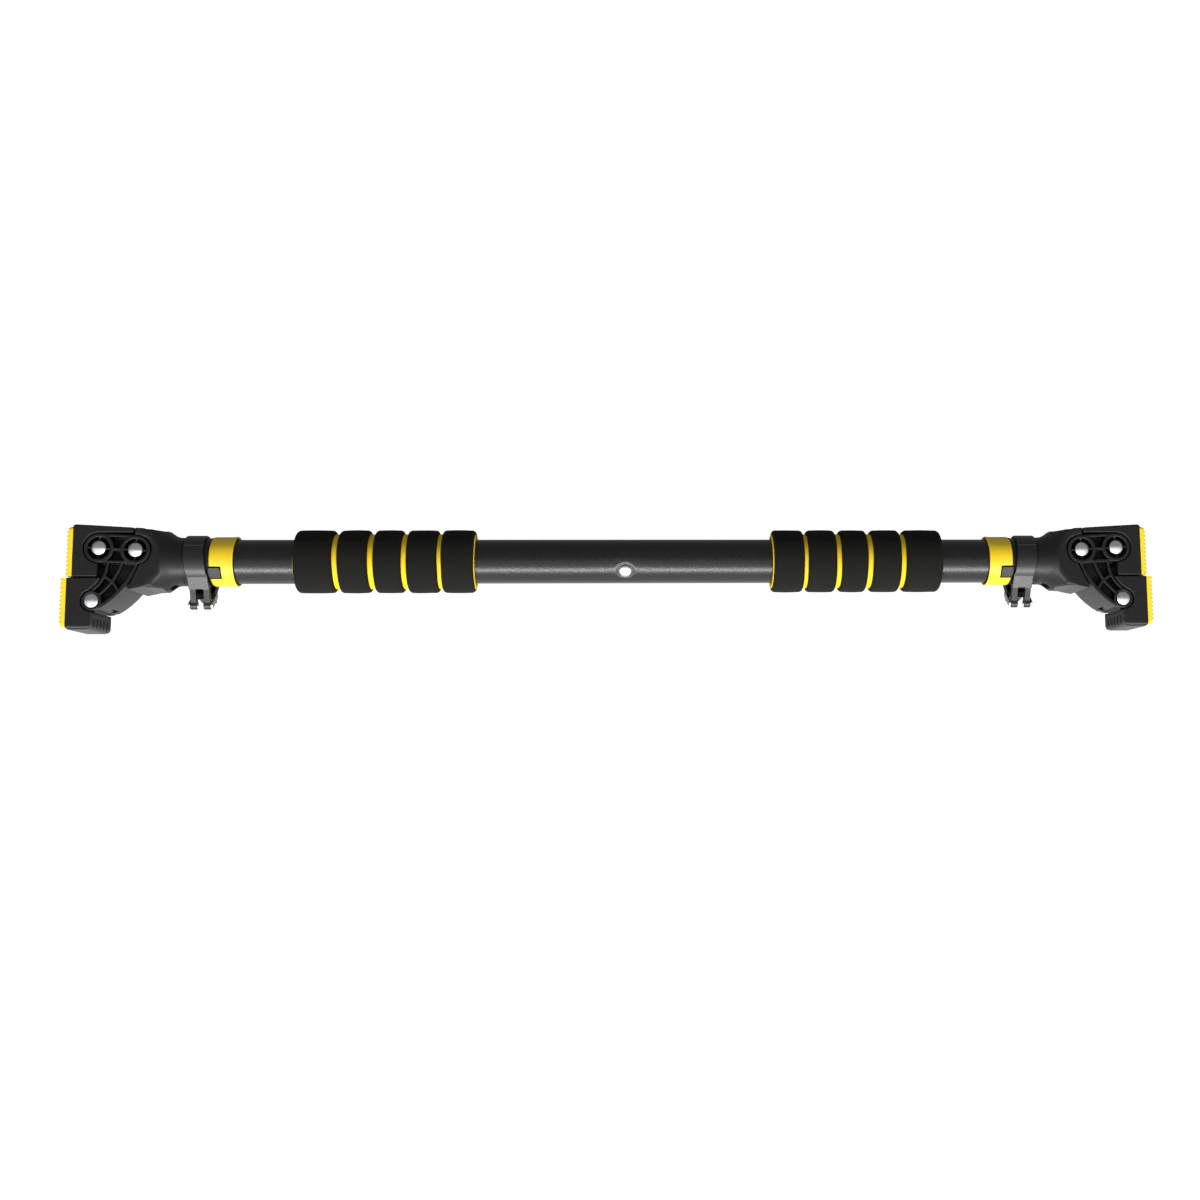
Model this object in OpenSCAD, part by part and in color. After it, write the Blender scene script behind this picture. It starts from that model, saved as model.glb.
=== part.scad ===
// Doorway pull-up bar: a steel tube with foam grips between two gravity-lock heads.
// X runs along the bar, -Y faces the user, Z is up. The origin is on the tube's axis,
// midway between the two wall pads.

/* [Tube] */
// Outside diameter of the centre tube
tube_d = 32; // [31.9:0.1:32.1]
// Wall thickness of the centre tube
tube_wall = 1.5; // [1.2:0.1:1.6]
// Half the length of the centre tube
tube_half = 325; // [322:1:325]

/* [Grips] */
// Outside diameter of the foam grips
grip_d = 45.5; // [42:0.5:50]
// Length of the left foam grip
left_grip_len = 128.5; // [110:0.5:130]
// Length of the right foam grip
right_grip_len = 123.7; // [110:0.1:130]
// Distance from the bar's middle to the left grip's middle
left_grip_x = 165.8; // [160:0.1:175]
// Distance from the bar's middle to the right grip's middle
right_grip_x = 175.4; // [165:0.1:180]
// Thickness of the yellow sleeve's rim that shows at a grip's ends
grip_rim = 0.6; // [0.4:0.1:1]

/* [Adjuster] */
// Lead of the adjusting screw for one turn
screw_lead = 4; // [3:1:5]
// Outside diameter of the adjusting screw
screw_d = 16; // [15:0.5:16]
// Radial running clearance of a shaft in its hole
fit = 0.05; // [0.03:0.01:0.08]

/* [Head] */
// Width of the heads from front to back
head_w = 42; // [40:1:44]
// Distance from the bar's middle to the upper pad's outer face
reach = 387.5; // [386.5:0.5:389]
// Number of raised ribs on the upper pad
upper_ribs = 12; // [8:1:12]
// Number of raised ribs on the lower pad
lower_ribs = 12; // [8:1:12]

/* [Hidden] */
$fn = 64;
eps = 0.02;

tube_r = tube_d / 2;
tube_bore = tube_r - tube_wall;
screw_r = screw_d / 2;
half_w = head_w / 2;

// Pivots of the arm in the XZ plane: upper pad housing, neck, lower pad housing
pivot_a = [365, 7.4];
pivot_b = [339.6, 6];
pivot_c = [368.9, -30.1];
pin_r = 3;
bush_r = 4.6;
cheek_in = 13;
cheek_floor = 15.5;
lug_half = 12.6;
ring_r = 10.4;
ring_recess_r = 7.9;
knuckle_r = 9.5;
toe_r = 7;
toe_knuckle_r = 6.5;
rib_w = 1.9;
gap = 0.5;

// Stations along the right-hand head
collar_x0 = 272.3;
collar_x1 = 289.2;
clamp_x0 = 290.8;
clamp_x1 = 305.2;
nose_x0 = 279;
wall_x = 326;
sleeve_r = 17.5;
seat_r = 17;
nose_r = 16.85;
bore_r = tube_r + fit;
key_angle = 35;

// Screw, nut and rod-end bush
nut_x0 = 287;
nut_x1 = 322;
bush_x0 = 206;
bush_x1 = 216;
rod_end_x = 333.4;
journal_r = 5;

// Pads and housings
upper_face_x = reach - 4.5;
lower_face_x = reach - 1.1;
pad_base = 3.4;
rib_h = 1.1;
pad_round = 3;
pad_corner = 2.5;
pad_inset = 0.9;
upper_z0 = -12.9;
upper_z1 = 24.3;
lower_z0 = -50.5;
lower_z1 = -13.85;

// Rivet, pins and inner sleeve of the tube
rivet_x = 6.6;
rivet_r = 2;
rivet_head_r = 4.6;
rivet_flange_r = 2.9;
rivet_seat = 15.2;
doubler_half = 60;
pin_x = 312;
nut_pin_r = 2;

// Foam grips: widths of the black rings and of the grooves between them, from the
// end nearer the bar's middle, as shares of the length between the rims
groove_r = 20;
ring_edge = 2.5;
ring_parts = [24.3, 22, 20.2, 21.6, 24.4];
groove_parts = [2.3, 3.8, 3.4, 3.3, 0];

// Collar, its key and the slit of the neck's mouth
collar_r = 17.9;
key_r = 17.7;
key_w = 8.6;
key_x0 = 281.6;
notch_gap = 0.7;
slit_w = 2.4;
window_x0 = 314.5;
window_len = 5.5;
window_w = 10;

// Clamp ring, its lean towards the head, hinge, claws and bail
clamp_r = 18.5;
clamp_lean = 0.09;
clamp_cap_z = 10;
claw_w = 4.8;
claw_r = 3.3;
claw_yz = [-1.5, -31.5];
claw_mouth_angle = -37;
hinge_yz = [16.5, -14];
hinge_r = 3;
hinge_pin_r = 1.3;
hinge_x0 = 295.4;
hinge_x1 = 301.5;
bail_r = 1.2;
bail_t = 1.2;
link_r = 1.9;
bail_yz = [8, -24];

// Lattice: each leg is [lower end, upper end, bulge]
leg_out = [[369.8, -23.6], [358.4, -2.5], 3];
leg_in = [[364.4, -35.2], [338.5, -4.3], 3.6];
web_t = 2.6;
web_slot_x = 361;

// Bolts and nuts
head_r = 4.9;
head_h = 0.8;
seat_y = 19.6;
seat_boss_r = 5.4;
nut_y = 16.6;
nut_r = 5.77;

// Housings
cap_x = 341;
cap_z = 18.4;
block_x = 365.4;
toe_face_x = 368.9;

function reversed(list) = [for (i = [len(list) - 1 : -1 : 0]) list[i]];

// ---- helpers ----

// The left-hand copy of a right-hand piece
module left() {
    mirror([1, 0, 0]) children();
}

// A solid of revolution about the X axis from [radius, x] points
module turned(points) {
    rotate([0, 90, 0]) rotate_extrude($fn = 96) polygon(points);
}

// A tube along X
module pipe(x0, x1, r_in, r_out) {
    turned([[r_in, x0], [r_out, x0], [r_out, x1], [r_in, x1]]);
}

// A round bar along X at [y, z]
module bar_x(x0, x1, r, at = [0, 0], facets = $fn) {
    translate([x0, at[0], at[1]]) rotate([0, 90, 0]) cylinder(h = x1 - x0, r = r, $fn = facets);
}

// A flat shape drawn in the XZ plane, given thickness from y0 to y1
module slab(y0, y1) {
    translate([0, y1, 0]) rotate([90, 0, 0]) linear_extrude(y1 - y0) children();
}

// The same shape on the front and on the back
module both_slabs(y0, y1) {
    slab(y0, y1) children();
    slab(-y1, -y0) children();
}

// A round pin along Y at a pivot
module pin_y(at, y0, y1, r) {
    translate([at[0], y1, at[1]]) rotate([90, 0, 0]) cylinder(h = y1 - y0, r = r);
}

// A disc in the XZ plane
module disc(at, r) {
    translate(at) circle(r);
}

// Centre and radius of the arc from a to b that bulges to the left of the way
function arc_radius(a, b, bulge) = (norm(b - a) ^ 2 / 4 + bulge ^ 2) / (2 * bulge);
function left_of(a, b) = [a[1] - b[1], b[0] - a[0]] / norm(b - a);
function arc_centre(a, b, bulge) =
    (a + b) / 2 - left_of(a, b) * (arc_radius(a, b, bulge) - bulge);

// Points along that arc
function arc_points(a, b, bulge, steps = 10) =
    let (
        c = arc_centre(a, b, bulge),
        r = arc_radius(a, b, bulge),
        half = asin(norm(b - a) / 2 / r),
        out = left_of(a, b),
        along = (b - a) / norm(b - a))
    [for (i = [0 : steps])
        let (t = half * (2 * i / steps - 1))
        c + r * (cos(t) * out + sin(t) * along)];

// A curved rib of the lattice
module curved_rib(a, b, bulge, w = rib_w) {
    side = left_of(a, b) * w / 2;
    inner = arc_points(a - side, b - side, bulge);
    polygon(concat(arc_points(a + side, b + side, bulge), reversed(inner)));
}

// A straight rib of the lattice
module straight_rib(a, b, w = rib_w) {
    side = left_of(a, b) * w / 2;
    polygon([a + side, b + side, b - side, a - side]);
}

// A shape drawn in the YZ plane, given length from x0 to x1
module run_x(x0, x1) {
    translate([x0, 0, 0]) rotate([90, 0, 90]) linear_extrude(x1 - x0) children();
}

// A rectangle in the YZ plane with rounded corners
module soft_rect(w, z0, z1, r) {
    for (y = [-1, 1])
        for (z = [z0 + r, z1 - r]) translate([y * (w / 2 - r), z]) circle(r);
    translate([-w / 2 + r, z0]) square([w - 2 * r, z1 - z0]);
    translate([-w / 2, z0 + r]) square([w, z1 - z0 - 2 * r]);
}

// A radial piece turned about the bar's axis, starting from the front
module around(angle) {
    rotate([angle, 0, 0]) children();
}

// ---- tube and grips ----

module centre_tube() {
    color([0.13, 0.13, 0.14])
    difference() {
        pipe(-tube_half, tube_half, tube_bore, tube_r);
        translate([rivet_x, 0, 0]) around(key_angle) rotate([90, 0, 0]) {
            cylinder(h = tube_r + 1, r = rivet_r + fit);
            translate([0, 0, rivet_seat]) cylinder(h = 2, r = rivet_head_r + 0.6);
        }
        for (side = [-1, 1]) translate([side * pin_x, 0, -tube_r - 1])
            cylinder(h = 2 * tube_r + 2, r = nut_pin_r);
    }
}

// Short inner sleeve that stiffens the middle of the tube
module tube_doubler() {
    color("silver")
    difference() {
        pipe(rivet_x - doubler_half, rivet_x + doubler_half, tube_bore - 1.5, tube_bore);
        translate([rivet_x, 0, 0]) around(key_angle) rotate([90, 0, 0])
            cylinder(h = tube_r + 1, r = rivet_r + fit);
    }
}

// Domed rivet that holds the inner sleeve, its head sunk in the tube's dimple
module tube_rivet() {
    flange_top = sqrt((tube_bore - 1.5) ^ 2 - rivet_flange_r ^ 2) - fit;
    flange_h = 1;
    dome_h = 1.7;
    dome_r = (rivet_head_r ^ 2 + dome_h ^ 2) / (2 * dome_h);
    color([0.85, 0.86, 0.88])
    translate([rivet_x, 0, 0]) around(key_angle) rotate([90, 0, 0]) {
        translate([0, 0, flange_top - flange_h]) {
            cylinder(h = rivet_seat + 0.3 - flange_top + flange_h, r = rivet_r);
            cylinder(h = flange_h, r = rivet_flange_r);
        }
        translate([0, 0, rivet_seat]) intersection() {
            cylinder(h = dome_h + 1, r = rivet_head_r);
            translate([0, 0, dome_h - dome_r]) sphere(r = dome_r, $fn = 96);
        }
    }
}

// Yellow foam sleeve that carries the black rings
module grip_core(x_mid, long) {
    color([0.95, 0.78, 0.08])
    pipe(x_mid - long / 2, x_mid + long / 2, tube_r, groove_r);
}

// Sum of a list's first n entries
function first_sum(list, n) = n == 0 ? 0 : list[n - 1] + first_sum(list, n - 1);

// Black rings; way is 1 where the grip runs towards +X from its inboard end
module grip_ring_set(x_mid, long, way) {
    parts = len(ring_parts);
    whole = first_sum(ring_parts, parts) + first_sum(groove_parts, parts);
    share = (long - 2 * grip_rim) / whole;
    color([0.07, 0.07, 0.07])
    for (i = [0 : parts - 1]) {
        from_end = grip_rim + share * (first_sum(ring_parts, i) + first_sum(groove_parts, i));
        a = x_mid + way * (from_end - long / 2);
        b = a + way * share * ring_parts[i];
        x0 = min(a, b);
        x1 = max(a, b);
        turned([
            [groove_r, x0], [grip_d / 2 - ring_edge, x0], [grip_d / 2, x0 + ring_edge],
            [grip_d / 2, x1 - ring_edge], [grip_d / 2 - ring_edge, x1], [groove_r, x1]]);
    }
}

// ---- adjusting screw ----

// Steel nut bush fixed in the end of the tube
module nut_bush() {
    color("silver")
    difference() {
        pipe(nut_x0, nut_x1, screw_r + fit, tube_bore);
        translate([pin_x, 0, -tube_r]) cylinder(h = 2 * tube_r, r = nut_pin_r);
    }
}

module nut_pins() {
    color("silver")
    for (z = [-1, 1]) translate([pin_x, 0, z > 0 ? screw_r + 1.5 : -tube_r + 0.15])
        cylinder(h = tube_r - screw_r - 1.65, r = nut_pin_r);
}

// Plastic bush that keeps the screw's free end central in the tube
module guide_bush() {
    color([0.85, 0.85, 0.82])
    difference() {
        pipe(bush_x0, bush_x1, journal_r + fit, tube_bore - fit);
        for (a = [0 : 60 : 300]) around(a)
            translate([bush_x0 - 1, -tube_bore + 2.4, 0])
                rotate([0, 90, 0]) cylinder(h = bush_x1 - bush_x0 + 2, r = 1.2);
    }
}

// Adjusting screw: ring grooves stand for its thread
module screw() {
    turns = floor((wall_x - 2 - bush_x1 - 3) / screw_lead);
    first = bush_x1 + 2;
    root = screw_r - 1.6;
    flat = screw_lead * 0.36;
    color([0.72, 0.73, 0.75])
    turned(concat(
        [[0, bush_x0 - 2], [journal_r, bush_x0 - 2], [journal_r, bush_x1 + 0.5],
            [screw_r - 1, bush_x1 + 0.5], [screw_r, bush_x1 + 1.5]],
        [for (i = [0 : turns - 1]) each let (x = first + i * screw_lead)
            [[screw_r, x + flat], [root, x + screw_lead / 2],
                [root, x + screw_lead / 2 + 0.2], [screw_r, x + screw_lead - 0.2]]],
        [[screw_r, rod_end_x], [0, rod_end_x]]));
}

module screw_clip() {
    color("silver") {
        pipe(bush_x0 - 1.9, bush_x0 - 0.4, journal_r, journal_r + 3);
        bar_x(bush_x0 - 5.5, bush_x0 - 2, 4.2);
    }
}

// ---- neck ----

// Side view of the neck's block between its cone and the arm
module neck_side() {
    polygon([
        [327, -20.3], [333.6, -20.4], [343.6, -22.6], [343.6, -19.4], [342.2, -17.3],
        [336.2, -4.4], [336.2, 2], [340.2, 13], [340.2, 21.9], [333.7, 21.6],
        [333.7, 20.9], [327, 20.9]]);
}

module neck() {
    seat_x1 = clamp_x1 + 2 * clamp_r * clamp_lean + 0.3;
    slit_len = window_x0 + 1 - nose_x0;
    color([0.1, 0.1, 0.105])
    difference() {
        union() {
            turned([
                [0, nose_x0], [nose_r, nose_x0], [nose_r, collar_x1 + 0.1],
                [sleeve_r, collar_x1 + 0.1], [sleeve_r, clamp_x0 - 0.3],
                [seat_r, clamp_x0 - 0.3], [seat_r, seat_x1],
                [sleeve_r, seat_x1], [sleeve_r, 313], [18.4, 316.2],
                [20.6, 319.4], [22.8, 322.4], [0, 322.4]]);
            intersection() {
                turned([[0, 322.4], [22.8, 322.4], [25.2, 325.4], [30.5, 331.5],
                    [30.5, 335], [0, 335]]);
                run_x(322, 335) soft_rect(2 * half_w - 1, -20.6, 21.2, 2.5);
            }
            slab(-half_w + 0.5, half_w - 0.5) neck_side();
            slab(-half_w, half_w) intersection() {
                neck_side();
                disc([346, -4.5], 21.1);
            }
            pin_y(pivot_b, -lug_half, lug_half, knuckle_r);
            around(key_angle) translate([key_x0, -key_r, -key_w / 2])
                cube([collar_x1 + 0.5 - key_x0, key_r - tube_r, key_w]);
        }
        bar_x(nose_x0 - 5, wall_x, bore_r);
        bar_x(wall_x - 1, rod_end_x, screw_r);
        both_slabs(cheek_in - 0.2, half_w + 1) disc(pivot_b, ring_r + gap);
        pin_y(pivot_b, -lug_half - 1, lug_half + 1, bush_r);
        translate([nose_x0 - 1, -slit_w / 2, -half_w]) cube([slit_len, slit_w, half_w]);
        translate([window_x0, -window_w / 2, -tube_r - 8]) cube([window_len, window_w, 8]);
    }
}

// Steel sleeve pressed into a knuckle, in which a pivot bolt turns
module bush(at) {
    color("silver")
    difference() {
        pin_y(at, -lug_half, lug_half, bush_r);
        pin_y(at, -lug_half - 1, lug_half + 1, pin_r + fit);
    }
}

// Yellow guide ring on the neck's mouth, keyed by the neck's tooth
module collar() {
    color([0.95, 0.78, 0.08])
    difference() {
        turned([
            [tube_r + 1.1, collar_x0], [tube_r + 2.2, collar_x0],
            [tube_r + 2.2, collar_x0 + 1.2], [collar_r, collar_x0 + 2.6],
            [collar_r, collar_x1 - 0.8], [collar_r - 0.5, collar_x1],
            [nose_r, collar_x1], [nose_r, nose_x0], [tube_r + 0.3, nose_x0],
            [tube_r + 0.3, collar_x0 + 3]]);
        around(key_angle) translate([key_x0 - notch_gap, -half_w, -key_w / 2 - notch_gap])
            cube([half_w, half_w, key_w + 2 * notch_gap]);
    }
}

// ---- clamp ----

// Leans a piece so that it keeps its place underneath and moves out along X at the top
module leaned() {
    multmatrix([[1, 0, clamp_lean, clamp_lean * clamp_r], [0, 1, 0, 0], [0, 0, 1, 0], [0, 0, 0, 1]])
        children();
}

// Slit ring that squeezes the neck's mouth onto the tube; its front fork ends in two claws
module clamp_ring() {
    color([0.12, 0.12, 0.125])
    difference() {
        union() {
            leaned() {
                pipe(clamp_x0, clamp_x1, seat_r - 0.2, clamp_r);
                intersection() {
                    pipe(clamp_x0 + 0.5, clamp_x1 - 0.5, seat_r - 0.2, clamp_r + 0.45);
                    translate([clamp_x0, -half_w, clamp_cap_z])
                        cube([clamp_x1 - clamp_x0, half_w + 3, half_w]);
                }
            }
            run_x(clamp_x0, clamp_x1)
                polygon([[-14.5, -11], [-4, -16], [-4.2, -20.8], [-8.4, -20.8]]);
            for (x = [clamp_x0, clamp_x1 - claw_w]) {
                run_x(x, x + claw_w - 0.6)
                    polygon([[-8.4, -20.7], [-4.2, -20.7], [claw_yz[0] + 2.2, claw_yz[1] + 1.8],
                        [claw_yz[0] - claw_r + 0.2, claw_yz[1] + 1]]);
                bar_x(x, x + claw_w, claw_r, claw_yz);
            }
            bar_x(hinge_x0, hinge_x1, hinge_r, hinge_yz);
            run_x(hinge_x0, hinge_x1)
                polygon([[11.5, -13], [15.5, -8.2], hinge_yz + [1.6, 2.4], hinge_yz + [-2, -2]]);
        }
        bar_x(clamp_x0 - 1, clamp_x1 + 5, seat_r, [0, 0], 96);
        translate([clamp_x0 - 1, -4, -half_w]) cube([claw_w * 4, 12, half_w - 12]);
        bar_x(hinge_x0 - 1, hinge_x1 + 1, hinge_pin_r, hinge_yz);
        bar_x(clamp_x0 - 1, clamp_x1 + 1, bail_r + 0.35, claw_yz);
        translate([clamp_x0 - 1, claw_yz[0], claw_yz[1]]) rotate([claw_mouth_angle, 0, 0])
            translate([0, 0, -bail_r - 0.35]) cube([claw_w * 4, 6, 2 * bail_r + 0.7]);
    }
}

module latch_pin() {
    color("silver") bar_x(clamp_x0 + 0.2, clamp_x1 - 0.2, hinge_pin_r, hinge_yz);
}

// Side view of the latch lever, drawn in the YZ plane
module lever_side() {
    polygon([hinge_yz + [2.6, -1.4], hinge_yz + [-1.2, 2.7], hinge_yz + [-10.6, -8.2],
        hinge_yz + [-10.2, -12.4], hinge_yz + [-6.4, -12.2]]);
}

// Black latch lever: swings down and back to open the clamp
module latch_lever() {
    color([0.09, 0.09, 0.095])
    difference() {
        union() {
            for (x = [[clamp_x0 + 0.2, hinge_x0 - 0.3], [hinge_x1 + 0.3, clamp_x1 - 0.2]]) {
                bar_x(x[0], x[1], hinge_r, hinge_yz);
                run_x(x[0], x[1]) lever_side();
            }
            run_x(clamp_x0 + 0.2, clamp_x1 - 0.2) intersection() {
                lever_side();
                translate(hinge_yz + [-14, -16]) square([11.5, 11.4]);
            }
            run_x(clamp_x0 + 2, clamp_x1 - 2)
                polygon([hinge_yz + [-7, -11.9], hinge_yz + [-3.2, -9], hinge_yz + [3.4, -12],
                    hinge_yz + [2.8, -14]]);
        }
        bar_x(clamp_x0 - 1, clamp_x1 + 1, hinge_pin_r + fit, hinge_yz);
        bar_x(clamp_x0 - 1, clamp_x1 + 1, bail_r, bail_yz);
    }
}

// Flat steel bail on the lever: the stubs on its two links sit in the claws
module latch_bail() {
    color([0.8, 0.8, 0.82]) {
        for (x = [clamp_x0 - bail_t - 0.3, clamp_x1 + 0.3]) {
            run_x(x, x + bail_t) {
                straight_rib(bail_yz, claw_yz, 2 * link_r);
                translate(bail_yz) circle(link_r);
                translate(claw_yz) circle(link_r);
            }
        }
        bar_x(clamp_x0 - 0.4, clamp_x1 + 0.4, bail_r, bail_yz);
        bar_x(clamp_x0 - 0.4, clamp_x0 + claw_w - 0.6, bail_r, claw_yz);
        bar_x(clamp_x1 - claw_w + 0.6, clamp_x1 + 0.4, bail_r, claw_yz);
    }
}

// ---- arm ----

// The arm's side view without its lattice
module arm_fill() {
    polygon(concat(
        arc_points(leg_out[0], leg_out[1], leg_out[2]),
        reversed(arc_points(leg_in[0], leg_in[1], leg_in[2]))));
    polygon([pivot_b + [-3, -8.9], pivot_b + [0, ring_r], pivot_a + [0, ring_r],
        pivot_a + [1, -9.4]]);
}

// Curved and straight ribs that show on the arm's faces
module arm_ribs() {
    curved_rib(leg_out[0], leg_out[1], leg_out[2]);
    curved_rib([363.3, -25.5], [348.6, -3.4], 2);
    curved_rib(leg_in[0], leg_in[1], leg_in[2]);
    curved_rib([351, -22.6], [360.3, -13.1], 1.2);
    straight_rib(pivot_b + [-2, -9.2], pivot_a + [0.8, -9.3]);
    straight_rib(pivot_b + [9, 0.6], pivot_a + [-9, -0.8]);
    straight_rib(pivot_b + [0, ring_r - rib_w / 2], pivot_a + [0, ring_r - rib_w / 2]);
}

// A raised ring with a recess round the bolt's seat
module pivot_ring(at) {
    difference() {
        disc(at, ring_r);
        disc(at, ring_recess_r);
    }
    disc(at, seat_boss_r);
    for (a = [0 : 90 : 270]) translate(at) rotate(a + 4)
        translate([seat_boss_r - 0.5, -0.6]) square([ring_recess_r - seat_boss_r + 1, 1.2]);
}

// Ribbed bell crank between the neck and the two pad housings
module arm() {
    color([0.11, 0.11, 0.115])
    difference() {
        union() {
            both_slabs(cheek_in, cheek_floor) {
                arm_fill();
                arm_ribs();
                disc(pivot_a, ring_r);
                disc(pivot_b, ring_r);
                disc(pivot_c, toe_r);
            }
            both_slabs(cheek_floor - eps, half_w - 0.8) difference() {
                arm_ribs();
                disc(pivot_a, ring_recess_r);
                disc(pivot_b, ring_recess_r);
            }
            both_slabs(cheek_floor - eps, half_w - 0.6) disc(pivot_c, toe_r);
            both_slabs(cheek_floor - eps, half_w - 0.6) difference() {
                union() {
                    disc(pivot_a, ring_r);
                    disc(pivot_b, ring_r);
                }
                disc(pivot_a, ring_recess_r);
                disc(pivot_b, ring_recess_r);
            }
            both_slabs(cheek_floor - eps, seat_y) {
                pivot_ring(pivot_a);
                pivot_ring(pivot_b);
            }
            slab(-half_w + 0.8, half_w - 0.8) intersection() {
                curved_rib(leg_in[0], leg_in[1], leg_in[2], web_t);
                translate([340, -60]) square([60, 51]);
            }
            slab(-cheek_in - eps, cheek_in + eps) translate([351.2, -2]) square([2, 17]);
        }
        for (at = [pivot_a, pivot_b, pivot_c]) pin_y(at, -half_w - 1, half_w + 1, pin_r);
        slab(-cheek_in, cheek_in) disc(pivot_c, toe_knuckle_r + gap);
        for (y = [-half_w - 1, seat_y]) pin_y(pivot_c, y, y + half_w + 1 - seat_y, head_r + 0.4);
        for (at = [pivot_a, pivot_b, pivot_c]) pin_y(at, nut_y, half_w + 1, nut_r + 0.3);
        translate([web_slot_x, 1, -39]) cube([3, 12, 7]);
    }
}

// Domed pivot bolts, heads to the front
module bolts() {
    dome_h = 2;
    dome_r = (head_r ^ 2 + dome_h ^ 2) / (2 * dome_h);
    color([0.85, 0.86, 0.88])
    for (at = [pivot_a, pivot_b, pivot_c]) {
        pin_y(at, -seat_y, nut_y + 5.5, pin_r);
        pin_y(at, -seat_y - head_h, -seat_y, head_r);
        translate([at[0], -seat_y - head_h, at[1]]) rotate([90, 0, 0]) intersection() {
            cylinder(h = dome_h + 1, r = head_r);
            translate([0, 0, dome_h - dome_r]) sphere(r = dome_r, $fn = 96);
        }
    }
}

// Hexagon nuts at the back
module nuts() {
    color("silver")
    for (at = [pivot_a, pivot_b, pivot_c]) difference() {
        translate([at[0], nut_y + 4.6, at[1]]) rotate([90, 0, 0])
            cylinder(h = 4.6, r = nut_r, $fn = 6);
        pin_y(at, nut_y - 1, half_w + 6, pin_r);
    }
}

// ---- pads and their housings ----

module upper_housing() {
    color([0.1, 0.1, 0.105])
    difference() {
        union() {
            intersection() {
                slab(-half_w, half_w) polygon([
                    [cap_x, cap_z], [cap_x, upper_z1 - 2.4], [upper_face_x - 1.2, upper_z1],
                    [upper_face_x, upper_z1 - 1.2], [upper_face_x, upper_z0],
                    [block_x, upper_z0], [block_x, cap_z]]);
                run_x(cap_x - 1, reach) soft_rect(head_w, upper_z0 - 8, upper_z1, 1.2);
            }
            pin_y(pivot_a, -lug_half, lug_half, knuckle_r);
        }
        both_slabs(cheek_in - 0.2, half_w + 1) disc(pivot_a, ring_r + gap);
        pin_y(pivot_a, -lug_half - 1, lug_half + 1, bush_r);
    }
}

module lower_housing() {
    color([0.1, 0.1, 0.105])
    difference() {
        union() {
            intersection() {
                slab(-half_w, half_w) polygon([
                    [362.8, lower_z1], [lower_face_x, lower_z1],
                    [lower_face_x, lower_z0 + 1.5], [lower_face_x - 1.5, lower_z0],
                    [toe_face_x + 3, lower_z0], [toe_face_x + 0.8, lower_z0 + 1],
                    [toe_face_x, lower_z0 + 3], [toe_face_x, -30]]);
                run_x(355, reach) soft_rect(head_w, lower_z0, lower_z1 + 8, 3);
            }
            pin_y(pivot_c, -lug_half, lug_half, toe_knuckle_r);
        }
        both_slabs(cheek_in - 0.2, half_w + 1) {
            disc(pivot_c, toe_r + gap);
            curved_rib(leg_out[0], leg_out[1], leg_out[2], rib_w + 2 * gap);
            arm_fill();
        }
        slab(-cheek_in, cheek_in) translate([355, -21]) square([8.6, 8]);
        pin_y(pivot_c, -lug_half - 1, lug_half + 1, bush_r);
        for (i = [-2 : 2]) translate([toe_face_x - 1, i * 6.5 - 0.9, lower_z0 - 1])
            cube([1.7, 1.8, 10.5]);
    }
}

// Ribbed rubber pad against the wall; low and high are the chamfers of its ends, and an
// end without a chamfer keeps its corners square
module pad(x, z0, z1, ribs, low, high) {
    pitch = (z1 - z0) / ribs;
    flat = 1.1;
    face = x + pad_base + rib_h;
    square_end = 2 * pad_corner;
    color([0.95, 0.78, 0.08])
    intersection() {
        slab(-half_w + 0.5, half_w - 0.5) intersection() {
            polygon(concat(
                [[x, z0]],
                [for (i = [0 : ribs - 1]) each let (z = z0 + (i + 0.5) * pitch)
                    [[x + pad_base, z - pitch / 2 + 0.1], [face, z - flat / 2],
                        [face, z + flat / 2], [x + pad_base, z + pitch / 2 - 0.1]]],
                [[x, z1]]));
            polygon([[x, z0], [face - low, z0], [face, z0 + low], [face, z1 - high],
                [face - high, z1], [x, z1]]);
        }
        run_x(x - 1, face + 1) soft_rect(
            head_w - 0.9,
            low > 0 ? z0 : z0 - square_end,
            high > 0 ? z1 : z1 + square_end,
            pad_corner);
    }
}

module upper_pad() {
    pad(upper_face_x, upper_z0, upper_z1 - 1.4, upper_ribs, 0, pad_round);
}

module lower_pad() {
    pad(lower_face_x, lower_z0 + pad_inset, lower_z1, lower_ribs, pad_round, 0);
}

centre_tube();
tube_doubler();
tube_rivet();
grip_core(-left_grip_x, left_grip_len);  // left_grip_core
grip_ring_set(-left_grip_x, left_grip_len, -1);  // left_grip_rings
grip_core(right_grip_x, right_grip_len);  // right_grip_core
grip_ring_set(right_grip_x, right_grip_len, 1);  // right_grip_rings
left() nut_bush();  // left_nut_bush
left() nut_pins();  // left_nut_pins
left() guide_bush();  // left_guide_bush
left() screw();  // left_screw
left() screw_clip();  // left_screw_clip
left() neck();  // left_neck
left() bush(pivot_b);  // left_neck_bush
left() collar();  // left_collar
left() clamp_ring();  // left_clamp_ring
left() latch_pin();  // left_latch_pin
left() latch_lever();  // left_latch_lever
left() latch_bail();  // left_latch_bail
left() arm();  // left_arm
left() bolts();  // left_bolts
left() nuts();  // left_nuts
left() upper_housing();  // left_upper_housing
left() bush(pivot_a);  // left_upper_bush
left() upper_pad();  // left_upper_pad
left() lower_housing();  // left_lower_housing
left() bush(pivot_c);  // left_lower_bush
left() lower_pad();  // left_lower_pad
nut_bush();  // right_nut_bush
nut_pins();  // right_nut_pins
guide_bush();  // right_guide_bush
screw();  // right_screw
screw_clip();  // right_screw_clip
neck();  // right_neck
bush(pivot_b);  // right_neck_bush
collar();  // right_collar
clamp_ring();  // right_clamp_ring
latch_pin();  // right_latch_pin
latch_lever();  // right_latch_lever
latch_bail();  // right_latch_bail
arm();  // right_arm
bolts();  // right_bolts
nuts();  // right_nuts
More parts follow.
